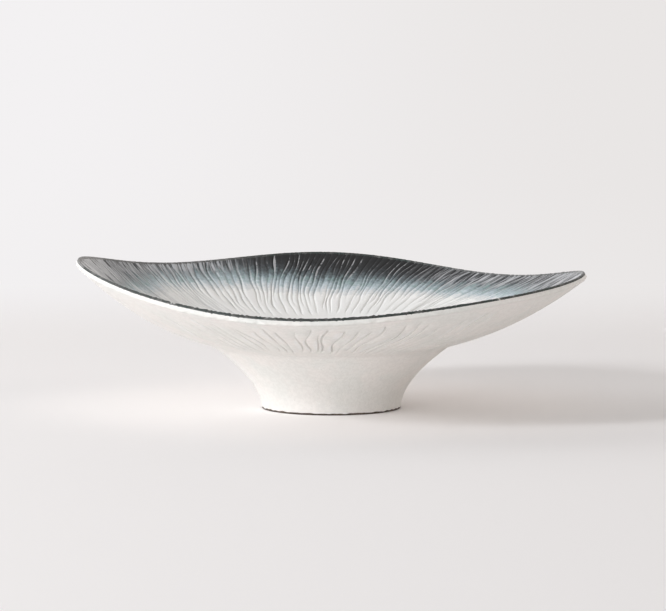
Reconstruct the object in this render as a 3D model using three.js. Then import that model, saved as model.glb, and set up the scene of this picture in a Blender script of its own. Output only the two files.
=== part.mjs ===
// A footed stoneware bowl with a wavy rim, in the pieces that a potter makes and joins: a wide dish
// with fine ribs that fan out inside it and fork towards the rim, a hollow flared pedestal, the slip
// that lutes the two together, the bare clay foot ring, and the dark edge that runs along the rim.
// Lengths are millimetres and angles are degrees. +Z is up, the origin is on the table under the
// pedestal's axis, +X points along the bowl's length, and -Y is the side that the viewer sees.
import * as THREE from "three";

// The bowl as a whole.
const BOWL_LENGTH = 338; // along X, from tip to tip
const BOWL_WIDTH = 322; // along Y
const RIM_HEIGHT = 86.9; // of the rim's crest, before the waves
const DISH_FLOOR_HEIGHT = 40.5; // of the inside at its centre
const DISH_FLOOR_THICKNESS = 7;

// The rim's waves add up. Each lifts and lowers the rim by its rise about the mean height, and its
// first crest's heading is counted anticlockwise from +X.
const TILT_RISE = 5.5; // one crest, with a low opposite it
const SADDLE_RISE = 6.4; // two crests
const TREFOIL_RISE = 4.1; // three
const QUATREFOIL_RISE = 2.3; // four
const CINQUEFOIL_RISE = 1; // five
const RIM_WAVES = [
  { crests: 1, rise: TILT_RISE, firstCrest: 133 },
  { crests: 2, rise: SADDLE_RISE, firstCrest: -9 },
  { crests: 3, rise: TREFOIL_RISE, firstCrest: -35 },
  { crests: 4, rise: QUATREFOIL_RISE, firstCrest: 2 },
  { crests: 5, rise: CINQUEFOIL_RISE, firstCrest: 15 },
];
const WAVE_ONSET = 2; // the power with which the waves grow from the crease out to the rim

// The dish's section.
const CREASE_RADIUS = 80.5; // where the underside meets the pedestal's flare
const CREASE_HEIGHT = 43;
const UNDERSIDE_BEND_HEIGHT = 54.4; // where the underside steepens
const LIP_THICKNESS = 4.1; // square to the wall
const LIP_SLOPE = 32; // of the inside at the rim, from level
const WALL_TAPER = 2; // how much steeper the underside is there
const LIP_ROUND = 1.8; // radius of the rim's lower outer corner

// The ribs inside and the shorter flutes outside.
const RIB_COUNT = 96;
const RIB_HEIGHT = 0.9; // from groove to crest
const RIB_START_RADIUS = 60;
const RIB_FORK_RADIUS = 112; // where each rib begins to part into two
const RIB_FORK_LENGTH = 26;
const RIB_FADE = 14; // length over which a rib rises at its start and sinks at its end
const RIB_SWEEP = 6; // the ribs' turn, clockwise on the way out
const FLUTE_COUNT = 96;
const FLUTE_DEPTH = 0.8;
const FLUTE_START_RADIUS = 98;
const FLUTE_END_RADIUS = 142;
const FLUTE_SWEEP = 4;

// The dark edge along the rim, which lies in a rebate.
const EDGE_WIDTH = 2.2;
const EDGE_DEPTH = 1.4;
const EDGE_CROWN = 0.25;

// The pedestal.
const FOOT_RADIUS = 46.3;
const FOOT_WALL = 6.8; // across the foot
const FLARE_BEND_RADIUS = 47; // where the outside, followed straight up, bends outwards
const FLARE_BEND_HEIGHT = 19.5;
const FLARE_WALL = 11; // across the flare's top, measured level

// The foot ring and the luted joint.
const FOOT_RING_HEIGHT = 1.2;
const FOOT_RING_BEVEL = 0.4;
const SEAT_DROP = 1.4; // of the flat seat below the crease
const SLIP_THICKNESS = 0.8;
const SLIP_BEAD = 1.2; // of the slip squeezed out inside the pedestal's mouth
const BOSS_CLEARANCE = 3; // between the dish's underside and the pedestal's mouth
const BOSS_DEPTH = 2; // of the step inside the seat
const FIT_GAP = 0.3; // between faces that don't meet flat

// Facets.
const COLUMNS = 2 * RIB_COUNT; // a crest and a groove for each rib
const RIB_STEPS = 8;
const FLUTE_STEPS = 5;
const FLARE_STEPS = 8;
const HOLLOW_STEPS = 5;
const ROUND_SEGMENTS = 60;

const radians = THREE.MathUtils.degToRad;
const point = (radius, height) => new THREE.Vector2(radius, height);

// The rim's section hangs on its crest. One way runs out along the wall, the other down through it.
const alongWall = point(Math.cos(radians(LIP_SLOPE)), Math.sin(radians(LIP_SLOPE)));
const throughWall = point(alongWall.y, -alongWall.x);
const rimRadius = BOWL_LENGTH / 2;
const flatLip = LIP_THICKNESS - LIP_ROUND;
const crest = point(
  rimRadius - LIP_ROUND + LIP_ROUND * alongWall.x - flatLip * throughWall.x,
  RIM_HEIGHT,
);
const fromCrest = (inwards, down) =>
  crest.clone().addScaledVector(alongWall, -inwards).addScaledVector(throughWall, down);

// Where the tangent at a curve's upper end, followed down, reaches a height.
const bendAt = (end, slope, height) =>
  point(end.x - (end.y - height) / Math.tan(radians(slope)), height);

const insideCurve = new THREE.QuadraticBezierCurve(
  point(0, DISH_FLOOR_HEIGHT),
  bendAt(crest, LIP_SLOPE, DISH_FLOOR_HEIGHT),
  crest,
);
const lipFoot = fromCrest(LIP_ROUND, LIP_THICKNESS);
const undersideCurve = new THREE.QuadraticBezierCurve(
  point(CREASE_RADIUS, CREASE_HEIGHT),
  bendAt(lipFoot, LIP_SLOPE + WALL_TAPER, UNDERSIDE_BEND_HEIGHT),
  lipFoot,
);
const flareCurve = new THREE.QuadraticBezierCurve(
  point(FOOT_RADIUS, 0),
  point(FLARE_BEND_RADIUS, FLARE_BEND_HEIGHT),
  point(CREASE_RADIUS, CREASE_HEIGHT),
);

// The point of a rising curve at a given radius ("x") or height ("y").
function pointAt(curve, axis, value) {
  let low = 0;
  let high = 1;
  for (let halving = 0; halving < 40; halving++) {
    const middle = (low + high) / 2;
    if (curve.getPoint(middle)[axis] < value) low = middle;
    else high = middle;
  }
  return curve.getPoint(high);
}

// The way square to a curve at a radius: up and inwards.
function squareTo(curve, radius) {
  const reach = 0.5;
  const run = pointAt(curve, "x", radius + reach).sub(pointAt(curve, "x", radius - reach));
  return point(-run.y, run.x).normalize();
}

const seatHeight = CREASE_HEIGHT - SEAT_DROP;
const pedestalTop = seatHeight - SLIP_THICKNESS;
const seatRadius = pointAt(flareCurve, "y", seatHeight).x;
const pedestalTopRadius = pointAt(flareCurve, "y", pedestalTop).x;
const mouthRadius = pedestalTopRadius - FLARE_WALL;
const bossRadius = mouthRadius - BOSS_CLEARANCE;
const footInnerRadius = FOOT_RADIUS - FOOT_WALL;

// How far the waves lift the rim at a heading.
function rimLift(heading) {
  let lift = 0;
  for (const { crests, rise, firstCrest } of RIM_WAVES) {
    lift += rise * Math.cos(crests * (heading - radians(firstCrest)));
  }
  return lift;
}

// A point of the dish's section, set round the axis, lifted by the waves and drawn in along Y.
function placed(section, heading) {
  const out = Math.max(0, section.x - CREASE_RADIUS) / (crest.x - CREASE_RADIUS);
  const wave = out ** WAVE_ONSET;
  const narrowing = 1 - (1 - BOWL_WIDTH / BOWL_LENGTH) * Math.min(1, wave);
  return new THREE.Vector3(
    section.x * Math.cos(heading),
    section.x * Math.sin(heading) * narrowing,
    section.y + rimLift(heading) * wave,
  );
}

// One ring of the dish. rise gives the clay's relief at a share of the way round, up and inwards.
function dishRing(section, columns, { turn = 0, square = point(0, 1), rise = () => 0 } = {}) {
  return Array.from({ length: columns }, (_, column) => {
    const share = column / columns;
    const raised = section.clone().addScaledVector(square, rise(share));
    return placed(raised, 2 * Math.PI * share - radians(turn));
  });
}

// A closed surface through rings of any length. A ring of one point is a pole, and a surface without
// poles joins its last ring to its first.
function surfaceThrough(rings) {
  const starts = [];
  const points = [];
  for (const ring of rings) {
    starts.push(points.length);
    points.push(...ring);
  }
  const faces = [];
  const corner = (ring, step) => starts[ring] + (step % rings[ring].length);
  const bridge = (from, to) => {
    const fromSteps = rings[from].length > 1 ? rings[from].length : 0;
    const toSteps = rings[to].length > 1 ? rings[to].length : 0;
    let here = 0;
    let there = 0;
    while (here < fromSteps || there < toSteps) {
      faces.push(corner(from, here), corner(to, there));
      const nextHere = (here + 1) / fromSteps;
      const nextThere = (there + 1) / toSteps;
      if (there < toSteps && (here >= fromSteps || nextThere <= nextHere)) {
        there++;
        faces.push(corner(to, there));
      } else {
        here++;
        faces.push(corner(from, here));
      }
    }
  };
  for (let ring = 1; ring < rings.length; ring++) bridge(ring - 1, ring);
  if (rings[0].length > 1) bridge(rings.length - 1, 0);
  const geometry = new THREE.BufferGeometry().setFromPoints(points).setIndex(faces);
  geometry.computeVertexNormals();
  return geometry;
}

// 0 outside a span of radius and 1 well inside it.
function fade(radius, start, end, soft) {
  const rising = THREE.MathUtils.smoothstep(radius, start, start + soft);
  return rising * (1 - THREE.MathUtils.smoothstep(radius, end - soft, end));
}

// A rib's height at a share of the way round. As it forks, a groove opens along its crest.
function ribRise(share, forked) {
  const phase = 2 * Math.PI * RIB_COUNT * share;
  return (RIB_HEIGHT / 2) * ((1 - forked) * Math.cos(phase) - forked * Math.cos(2 * phase));
}

// The inside of the dish, from its centre out to the rebate. It takes twice the columns once the
// ribs have forked.
function insideRings() {
  const rebateRadius = fromCrest(EDGE_WIDTH, 0).x;
  const span = rebateRadius - RIB_START_RADIUS;
  const at = (radius) => pointAt(insideCurve, "x", radius);
  const rings = [
    [placed(at(0), 0)],
    dishRing(at(RIB_START_RADIUS / 3), COLUMNS / 4),
    dishRing(at((2 * RIB_START_RADIUS) / 3), COLUMNS / 2),
  ];
  for (let step = 0; step < RIB_STEPS; step++) {
    const out = step / RIB_STEPS;
    const radius = RIB_START_RADIUS + span * out;
    const forkEnd = RIB_FORK_RADIUS + RIB_FORK_LENGTH;
    const forked = THREE.MathUtils.smoothstep(radius, RIB_FORK_RADIUS, forkEnd);
    const strength = fade(radius, RIB_START_RADIUS, rebateRadius, RIB_FADE);
    rings.push(
      dishRing(at(radius), forked > 0 ? 2 * COLUMNS : COLUMNS, {
        turn: RIB_SWEEP * out ** 2,
        square: squareTo(insideCurve, radius),
        rise: (share) => strength * ribRise(share, forked),
      }),
    );
  }
  return rings;
}

// The rebate for the dark edge, and the rim's outer face down to its rounded corner.
function lipRings() {
  const centre = fromCrest(LIP_ROUND, flatLip);
  const sections = [
    fromCrest(EDGE_WIDTH, 0),
    fromCrest(EDGE_WIDTH, EDGE_DEPTH),
    fromCrest(0, EDGE_DEPTH),
  ];
  for (const turned of [0, 45]) {
    const angle = radians(LIP_SLOPE - turned);
    sections.push(centre.clone().add(point(Math.cos(angle), Math.sin(angle)).multiplyScalar(LIP_ROUND)));
  }
  sections.push(lipFoot);
  return sections.map((section) => dishRing(section, COLUMNS, { turn: RIB_SWEEP }));
}

// The underside, from the rim in to the end of its flutes.
function undersideRings() {
  const at = (radius) => pointAt(undersideCurve, "x", radius);
  const span = FLUTE_END_RADIUS - FLUTE_START_RADIUS;
  const rings = [
    dishRing(at((rimRadius + FLUTE_END_RADIUS) / 2), COLUMNS, { turn: RIB_SWEEP }),
  ];
  for (let step = FLUTE_STEPS; step >= 0; step--) {
    const out = step / FLUTE_STEPS;
    const radius = FLUTE_START_RADIUS + span * out;
    const depth = FLUTE_DEPTH * fade(radius, FLUTE_START_RADIUS, FLUTE_END_RADIUS, span / 3);
    rings.push(
      dishRing(at(radius), COLUMNS, {
        turn: RIB_SWEEP + FLUTE_SWEEP * (1 - out) ** 2,
        square: squareTo(undersideCurve, radius),
        rise: (share) => depth * Math.max(0, Math.cos(2 * Math.PI * FLUTE_COUNT * share)),
      }),
    );
  }
  return rings;
}

// The crease, the flat seat and the rounded bottom that hangs in the pedestal's mouth.
function seatRings() {
  const bottomHeight = DISH_FLOOR_HEIGHT - DISH_FLOOR_THICKNESS;
  const bossEdge = seatHeight - BOSS_DEPTH;
  const turn = RIB_SWEEP + FLUTE_SWEEP;
  return [
    dishRing(undersideCurve.v0, COLUMNS / 2, { turn }),
    dishRing(point(seatRadius, seatHeight), COLUMNS / 2, { turn }),
    dishRing(point(bossRadius, seatHeight), COLUMNS / 2, { turn }),
    dishRing(point(bossRadius, bossEdge), COLUMNS / 2, { turn }),
    dishRing(point(bossRadius / 2, (3 * bottomHeight + bossEdge) / 4), COLUMNS / 4, { turn }),
    [placed(point(0, bottomHeight), 0)],
  ];
}

function dishGeometry() {
  const inside = insideRings();
  const outside = [...lipRings(), ...undersideRings(), ...seatRings()];
  return surfaceThrough([...inside, ...outside]);
}

// The dark edge, crowned on top and rounded over the crest.
function rimEdgeGeometry() {
  const width = EDGE_WIDTH - FIT_GAP;
  const depth = EDGE_DEPTH - FIT_GAP;
  const sections = [
    fromCrest(width, 0),
    fromCrest(width / 2, -EDGE_CROWN),
    fromCrest(0, EDGE_CROWN),
    fromCrest(0, depth),
    fromCrest(width, depth),
  ];
  const turn = RIB_SWEEP;
  return surfaceThrough(sections.map((section) => dishRing(section, COLUMNS / 2, { turn })));
}

// A round piece from a closed outline that runs up its outside.
function turned(outline) {
  return new THREE.LatheGeometry([...outline, outline[0]], ROUND_SEGMENTS).rotateX(Math.PI / 2);
}

// The pedestal's wall, hollow below, with a flat top that carries the dish.
function pedestalGeometry() {
  const outside = [];
  for (let step = 0; step <= FLARE_STEPS; step++) {
    const height = THREE.MathUtils.lerp(FOOT_RING_HEIGHT, pedestalTop, step / FLARE_STEPS);
    outside.push(pointAt(flareCurve, "y", height));
  }
  const hollow = new THREE.QuadraticBezierCurve(
    point(mouthRadius, pedestalTop),
    point(FLARE_BEND_RADIUS - FOOT_WALL, FLARE_BEND_HEIGHT),
    point(footInnerRadius, FOOT_RING_HEIGHT),
  );
  return turned([...outside, ...hollow.getPoints(HOLLOW_STEPS)]);
}

// The foot ring, bevelled at its lower edges.
function footRingGeometry() {
  return turned([
    point(footInnerRadius + FOOT_RING_BEVEL, 0),
    point(FOOT_RADIUS - FOOT_RING_BEVEL, 0),
    point(FOOT_RADIUS, FOOT_RING_BEVEL),
    pointAt(flareCurve, "y", FOOT_RING_HEIGHT),
    point(footInnerRadius, FOOT_RING_HEIGHT),
    point(footInnerRadius, FOOT_RING_BEVEL),
  ]);
}

// The fired slip: a thin bed under the seat, with the bead that it squeezed out inside.
function slipGeometry() {
  const beadInner = bossRadius + FIT_GAP;
  const beadOuter = mouthRadius - FIT_GAP;
  const beadFoot = pedestalTop - SLIP_BEAD;
  return turned([
    point(beadInner, beadFoot),
    point((beadInner + beadOuter) / 2, beadFoot),
    point(beadOuter, pedestalTop),
    point(pedestalTopRadius, pedestalTop),
    point(seatRadius, seatHeight),
    point(beadInner, seatHeight),
  ]);
}

function piece(name, geometry, material) {
  const mesh = new THREE.Mesh(geometry, new THREE.MeshStandardMaterial(material));
  mesh.name = name;
  return mesh;
}

const whiteGlaze = { color: 0xe2dfdb, roughness: 0.55, metalness: 0 };
const darkGlaze = { color: 0x38393c, roughness: 0.4, metalness: 0 };
const bareClay = { color: 0x5d5148, roughness: 0.9, metalness: 0 };

const bowl = new THREE.Group();
bowl.add(
  piece("dish", dishGeometry(), whiteGlaze),
  piece("rim_edge", rimEdgeGeometry(), darkGlaze),
  piece("pedestal", pedestalGeometry(), whiteGlaze),
  piece("slip_joint", slipGeometry(), bareClay),
  piece("foot_ring", footRingGeometry(), bareClay),
);

export default bowl;
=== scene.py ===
# %% [markdown]
# # A footed stoneware bowl
#
# The real bowl is a wide, shallow dish with a wavy rim, set on a hollow flared foot. Fine ribs fan out
# inside it and fork on their way to the rim. The white glaze inside turns through grey blue into a
# dark charcoal band, and a thin dark edge runs along the rim.
#
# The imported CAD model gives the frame: places, sizes and the main forms. This lesson builds the same
# pieces again with many more faces, so that each rib has its own course, and gives them their glazes.

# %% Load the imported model
import math

import bpy
import numpy as np
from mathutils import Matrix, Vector


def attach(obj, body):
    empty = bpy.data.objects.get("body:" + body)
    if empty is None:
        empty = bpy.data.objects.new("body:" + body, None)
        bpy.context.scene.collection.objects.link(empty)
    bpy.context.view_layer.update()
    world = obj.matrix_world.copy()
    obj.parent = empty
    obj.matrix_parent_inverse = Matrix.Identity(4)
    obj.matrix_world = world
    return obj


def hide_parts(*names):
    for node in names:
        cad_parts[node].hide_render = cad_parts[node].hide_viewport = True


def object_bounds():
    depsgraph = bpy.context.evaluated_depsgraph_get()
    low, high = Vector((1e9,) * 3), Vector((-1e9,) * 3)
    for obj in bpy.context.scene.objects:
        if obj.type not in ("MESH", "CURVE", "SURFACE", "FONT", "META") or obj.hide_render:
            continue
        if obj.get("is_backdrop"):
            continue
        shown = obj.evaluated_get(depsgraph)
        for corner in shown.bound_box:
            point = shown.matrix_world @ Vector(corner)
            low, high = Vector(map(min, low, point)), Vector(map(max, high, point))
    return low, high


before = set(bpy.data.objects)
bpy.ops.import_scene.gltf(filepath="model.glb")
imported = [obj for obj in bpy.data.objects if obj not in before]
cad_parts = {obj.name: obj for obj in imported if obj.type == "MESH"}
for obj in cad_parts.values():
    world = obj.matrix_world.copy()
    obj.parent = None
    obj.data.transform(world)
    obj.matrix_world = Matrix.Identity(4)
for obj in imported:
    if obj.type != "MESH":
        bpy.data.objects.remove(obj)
CAD_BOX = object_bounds()
BODY = "root"
print("CAD nodes:", sorted(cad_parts))
print("CAD box, lowest and highest corner:", CAD_BOX)

# %% [markdown]
# ## The camera
#
# A long lens two metres away sees the bowl nearly side on, from a little above the rim. A wider lens
# nearer by would draw the near rim too large against the far one. Place and lens were found by
# matching the outlines of the rim and the foot. The picture is 666 by 611 pixels, so Blender's sensor
# width lies along its longer side.

# %% Camera
FOCAL_LENGTH = 179.58  # mm, on a sensor 36 mm wide
CAMERA_PLACE = (0, -2.2, 0.265)
CAMERA_PITCH = 0.0893  # radians below level
CAMERA_YAW = -0.000515  # radians, a hair to the right


def in_scene(name, data):
    """An object in the scene, made of some data."""
    made = bpy.data.objects.new(name, data)
    bpy.context.scene.collection.objects.link(made)
    return made


camera = in_scene("camera", bpy.data.cameras.new("camera"))
camera.data.lens = FOCAL_LENGTH
camera.location = CAMERA_PLACE
camera.rotation_euler = (math.pi / 2 - CAMERA_PITCH, 0, CAMERA_YAW)
bpy.context.scene.camera = camera
print("camera at", CAMERA_PLACE, "with a lens of", FOCAL_LENGTH, "mm")

# %% [markdown]
# ## The bowl's section
#
# A potter throws the dish and the pedestal round, so each is a section turned about an axis. Three
# curves hold the sections: the inside, the underside and the flare of the pedestal. They are worked
# out here from the same measures as the CAD model's, so that the fine pieces lie on the solids that
# they replace. Blender's own curves could be turned with a Screw modifier, but the ribs need every
# point of the surface placed by a formula, so plain arrays of numbers suit them better.

# %% Measures of the section
MM = 0.001
TURN = 2 * math.pi  # a whole turn, in radians
BOWL_LENGTH = 338 * MM
BOWL_WIDTH = 322 * MM
RIM_HEIGHT = 86.9 * MM  # before the waves
DISH_FLOOR_HEIGHT = 40.5 * MM
DISH_FLOOR_THICKNESS = 7 * MM
CREASE_RADIUS = 80.5 * MM
CREASE_HEIGHT = 43 * MM
UNDERSIDE_BEND_HEIGHT = 54.4 * MM
LIP_THICKNESS = 4.1 * MM
LIP_ROUND = 1.8 * MM
LIP_SLOPE = math.radians(32)
WALL_TAPER = math.radians(2)
FOOT_RADIUS = 46.3 * MM
FOOT_WALL = 6.8 * MM
FLARE_BEND_RADIUS = 47 * MM
FLARE_BEND_HEIGHT = 19.5 * MM
FLARE_WALL = 11 * MM
FOOT_RING_HEIGHT = 1.2 * MM
SEAT_DROP = 1.4 * MM
SLIP_THICKNESS = 0.8 * MM

print("the bowl's length and width, in mm:", BOWL_LENGTH / MM, BOWL_WIDTH / MM)

# %% Curves that are read by radius or height
CURVE_STEPS = 4000


class Curve:
    """A quadratic curve through two points, given as radius and height, bent towards a third."""

    def __init__(self, start, bend, end):
        share = np.linspace(0, 1, CURVE_STEPS + 1)[:, None]
        first, middle, last = (np.array(point) for point in (start, bend, end))
        self.points = (1 - share) ** 2 * first + 2 * share * (1 - share) * middle + share**2 * last

    def height(self, radius):
        return np.interp(radius, self.points[:, 0], self.points[:, 1])

    def radius(self, height):
        return np.interp(height, self.points[:, 1], self.points[:, 0])

    def raised(self, radius, rise, reach=0.5 * MM):
        """Radius and height of points that stand a rise off the curve, up and inwards."""
        climb = self.height(radius + reach) - self.height(radius - reach)
        square = np.array([-climb, 2 * reach]) / math.hypot(climb, 2 * reach)
        return radius + rise * square[0], self.height(radius) + rise * square[1]


# %% The lip, and the three curves that hang on it
ALONG_WALL = np.array([math.cos(LIP_SLOPE), math.sin(LIP_SLOPE)])
THROUGH_WALL = np.array([ALONG_WALL[1], -ALONG_WALL[0]])
FLAT_LIP = LIP_THICKNESS - LIP_ROUND
CREST = np.array([
    BOWL_LENGTH / 2 - LIP_ROUND + LIP_ROUND * ALONG_WALL[0] - FLAT_LIP * THROUGH_WALL[0],
    RIM_HEIGHT,
])


def from_crest(inwards, down):
    """A point of the rim's section, along the wall and through it from the crest."""
    return CREST - inwards * ALONG_WALL + down * THROUGH_WALL


def bend_at(end, slope, height):
    """Where the tangent at a curve's upper end, followed down, reaches a height."""
    return (end[0] - (end[1] - height) / math.tan(slope), height)


lip_foot = from_crest(LIP_ROUND, LIP_THICKNESS)
inside = Curve((0, DISH_FLOOR_HEIGHT), bend_at(CREST, LIP_SLOPE, DISH_FLOOR_HEIGHT), CREST)
underside = Curve(
    (CREASE_RADIUS, CREASE_HEIGHT),
    bend_at(lip_foot, LIP_SLOPE + WALL_TAPER, UNDERSIDE_BEND_HEIGHT),
    lip_foot,
)
flare = Curve(
    (FOOT_RADIUS, 0), (FLARE_BEND_RADIUS, FLARE_BEND_HEIGHT), (CREASE_RADIUS, CREASE_HEIGHT)
)
print("crest of the rim at radius and height, in mm:", np.round(CREST / MM, 1))

# %% [markdown]
# ## The wavy rim
#
# While the clay is soft, the round dish is pushed out of true: the rim rises and dips as it goes
# round, and the bowl ends up a little longer than it is wide. A sum of a few cosine waves gives such
# a rim. They grow from nothing at the crease, so that the middle of the dish stays level.

# %% Waves of the rim
# Each wave has its number of crests, its rise in mm and the heading of its first crest in degrees.
RIM_WAVES = ((1, 5.5, 133), (2, 6.4, -9), (3, 4.1, -35), (4, 2.3, 2), (5, 1, 15))
WAVE_ONSET = 2  # the power of the way out with which the waves grow


def waved(waves, heading):
    """The sum of some waves round the bowl, at a heading."""
    return sum(
        rise * MM * np.cos(crests * (heading - math.radians(first)))
        for crests, rise, first in waves
    )


def stacked(*columns):
    """Columns of numbers side by side. A single number fills its column."""
    return np.stack(np.broadcast_arrays(*columns), axis=-1)


def placed(radius, height, heading):
    """Points of the dish: a section set round the axis, lifted by the waves and drawn in."""
    out = np.maximum(0, radius - CREASE_RADIUS) / (CREST[0] - CREASE_RADIUS)
    wave = out**WAVE_ONSET
    narrowing = 1 - (1 - BOWL_WIDTH / BOWL_LENGTH) * np.minimum(1, wave)
    x = radius * np.cos(heading)
    y = radius * np.sin(heading) * narrowing
    return stacked(x, y, height + waved(RIM_WAVES, heading) * wave)


lifts = waved(RIM_WAVES, np.radians(np.arange(360))) / MM
print("the waves lift the rim by", lifts.min().round(1), "to", lifts.max().round(1), "mm")

# %% [markdown]
# ## The ribs
#
# The ribs inside look like the gills of a mushroom: broad rounded ribs between narrow grooves that a
# loop tool has drawn through the leather-hard clay. Some 120 start round the smooth middle of the
# dish. Most of them part in two on the way out, where the wall has room for more, and they do so
# sooner towards the two tips. No two run quite alike, and those at the right tip are the faintest.
#
# A displacement texture would give waves but no forks. So the grooves are drawn one by one: each has
# its own place, lean, wobble and strength, from a seeded random generator, which gives the same
# numbers each time. The mesh's columns then follow the grooves, which keeps them crisp with few faces.

# %% Measures of the ribs
RIB_COUNT = 120
RIB_HEIGHT = 1.05 * MM
RIB_START = 84 * MM  # radius of the smooth middle
RIB_FADE = 14 * MM
RIB_SWEEP = math.radians(6)  # clockwise on the way out
FORK_RADIUS = 100 * MM
FORK_LAG = 12 * MM  # they part later at the front and back, and sooner towards the two tips
FORK_SPREAD = 12 * MM
FORK_LENGTH = 20 * MM
UNFORKED = 0.15  # share of the ribs that never part
EDGE_WIDTH = 2.2 * MM
EDGE_DEPTH = 1.4 * MM

rebate_radius = from_crest(EDGE_WIDTH, 0)[0]
print("the ribs end at radius", round(rebate_radius / MM, 1), "mm")

# %% Each groove's own place, start and strength
SEED = 96
HOME_SPREAD = 0.13  # shares of a rib's width, as are the next two
DRIFT_SPREAD = 0.09
LEAN_SPREAD = 0.05
START_GAP = 2  # mm from the smooth middle
START_SPREAD = 6  # mm
STRENGTHS = (0.7, 1.15)  # the weakest and the strongest

dice = np.random.default_rng(SEED)
groove_home = (np.arange(RIB_COUNT) + dice.normal(0, HOME_SPREAD, RIB_COUNT)) / RIB_COUNT
groove_drift = dice.normal(0, DRIFT_SPREAD, RIB_COUNT) / RIB_COUNT
groove_start = RIB_START + (START_GAP + np.abs(dice.normal(0, START_SPREAD, RIB_COUNT))) * MM
fork_lean = 0.5 + dice.normal(0, LEAN_SPREAD, RIB_COUNT)
fork_start = FORK_RADIUS - FORK_LAG * np.cos(4 * math.pi * groove_home)
fork_start += dice.normal(0, 1, RIB_COUNT) * FORK_SPREAD
fork_start[dice.random(RIB_COUNT) < UNFORKED] = BOWL_LENGTH
wobble_turn = dice.uniform(0, TURN, (2, RIB_COUNT))
groove_strength = dice.uniform(*STRENGTHS, (2, RIB_COUNT))
print("ribs that part in two:", int((fork_start < BOWL_LENGTH).sum()), "of", RIB_COUNT)

# %% Courses of the grooves
# Each wobble has its swing in ribs' widths, its length, and how often it takes the groove's own turn.
WOBBLES = ((0.12, 9 * MM, 1), (0.05, 4 * MM, 3))
FORK_WOBBLE = 0.7
PULSE = 0.2  # of a groove's strength, which comes and goes along it
PULSE_LENGTH = 7 * MM
TIP_CALM = 0.45  # of the grooves' strength, lost at the tip on the right
TIP_COSINE = 0.7  # of the angle from that tip within which they grow calm


def ease(value, low, high):
    """0 below a span, 1 above it, and a smooth rise between."""
    share = np.clip((value - low) / (high - low), 0, 1)
    return share * share * (3 - 2 * share)


def outwards(radius):
    """How far a radius is from the ribs' start to the rim, from 0 to 1."""
    return np.clip((radius - RIB_START) / (rebate_radius - RIB_START), 0, 1)


def groove_lines(radius):
    """Each groove's share of the way round and its strength at a radius, main and fork by turns."""
    wobble = sum(
        swing * np.sin(radius / length + times * wobble_turn) for swing, length, times in WOBBLES
    )
    homes = groove_home + groove_drift * outwards(radius) + wobble[0] / RIB_COUNT
    after = np.append(homes[1:], homes[0] + 1)
    forks = homes + (fork_lean + FORK_WOBBLE * wobble[1]) * (after - homes)
    pulse = groove_strength * (1 + PULSE * np.sin(radius / PULSE_LENGTH + 2 * wobble_turn))
    main_strength = ease(radius, groove_start, groove_start + RIB_FADE) * pulse[0]
    fork_strength = ease(radius, fork_start, fork_start + FORK_LENGTH) * pulse[1]
    lines = stacked(homes, forks).ravel()
    strength = stacked(main_strength, fork_strength).ravel()
    return lines, strength * (1 - TIP_CALM * ease(np.cos(TURN * lines), TIP_COSINE, 1))


print("grooves and forks at the rim:", int((groove_lines(rebate_radius)[1] > 0).sum()))

# %% Columns of points between grooves, and a groove's depth
COLUMN_FOOT = 0.4 * MM  # from a groove's line to the column at its foot
COLUMN_SHOULDER = 0.9 * MM
FOOT_LIMIT = 0.18  # the most that they may be of a narrow rib
SHOULDER_LIMIT = 0.36
CUT_REACH = 0.5 * MM
CUT_SHARE = 0.72  # of a groove's depth
HOLLOW_REACH = 1.5 * MM  # of the gentler hollow about the cut
HOLLOW_SHARE = 0.28


def columns_between(lines, radius):
    """Six columns from each line to the next, with their distances from the two lines."""
    gap = np.append(lines[1:], lines[0] + 1) - lines
    width = TURN * radius * gap
    foot = np.minimum(COLUMN_FOOT / width, FOOT_LIMIT)
    shoulder = np.minimum(COLUMN_SHOULDER / width, SHOULDER_LIMIT)
    places = stacked(0, foot, shoulder, 0.5, 1 - shoulder, 1 - foot)
    share = (lines[:, None] + gap[:, None] * places).ravel()
    return share, width[:, None] * places, width[:, None] * (1 - places)


def groove_depth(distance):
    """A groove's depth across it: a narrow cut in a wider hollow."""
    cut = np.exp(-((distance / CUT_REACH) ** 2))
    return CUT_SHARE * cut + HOLLOW_SHARE * np.exp(-((distance / HOLLOW_REACH) ** 2))


print("a groove's depth at its foot:", round(groove_depth(COLUMN_FOOT), 2), "of the whole")

# %% Courses of the ribs, and how the dark glaze lies on them
# Each meander has its swing as a share of the way round, its number round the bowl and its length.
MEANDERS = ((0.0017, 5, 21 * MM), (-0.0010, 11, 13 * MM))
# The dark glaze's waves are given as the rim's are.
DIP_WAVES = ((0, -3.4, 0), (1, 3.9, -28), (2, 0.7, -35), (3, 2.0, -54), (4, 5.1, 3))
THICKEST = math.radians(94)  # heading at which the dark glaze lies thickest
SIDE_SPAN = (0.23, 0.63)  # sines of the angle from there between which it thins
TIP_SPAN = (0.94, 1)  # and between which it thins again
TIP_THINNING = 0.9
SIDE_LEFTWARDS = 0.15  # how much more it thins on the left
TIP_LEFTWARDS = 0.5


def rib_heading(share, radius):
    """The heading of a rib, which sweeps and meanders on its way out."""
    meander = sum(
        wide * np.sin(TURN * waves * share + radius / length)
        for wide, waves, length in MEANDERS
    )
    return TURN * (share + meander) - RIB_SWEEP * outwards(radius) ** 2


def dip(share, radius):
    """How far out a point counts for the dark glaze, which was sprayed a little unevenly."""
    return radius + waved(DIP_WAVES, TURN * share)


def thinness(share):
    """How thin the dark glaze is: 0 at the front and back, and over 1 at the two tips."""
    leftwards = np.sin(TURN * share - THICKEST)
    sideways = np.abs(leftwards)
    beside = ease(sideways, *SIDE_SPAN) * (1 + SIDE_LEFTWARDS * leftwards)
    return beside + (TIP_THINNING + TIP_LEFTWARDS * leftwards) * ease(sideways, *TIP_SPAN)


print("thinness at the right and left tips:", thinness(np.array([0, 0.5])).round(2))

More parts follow.
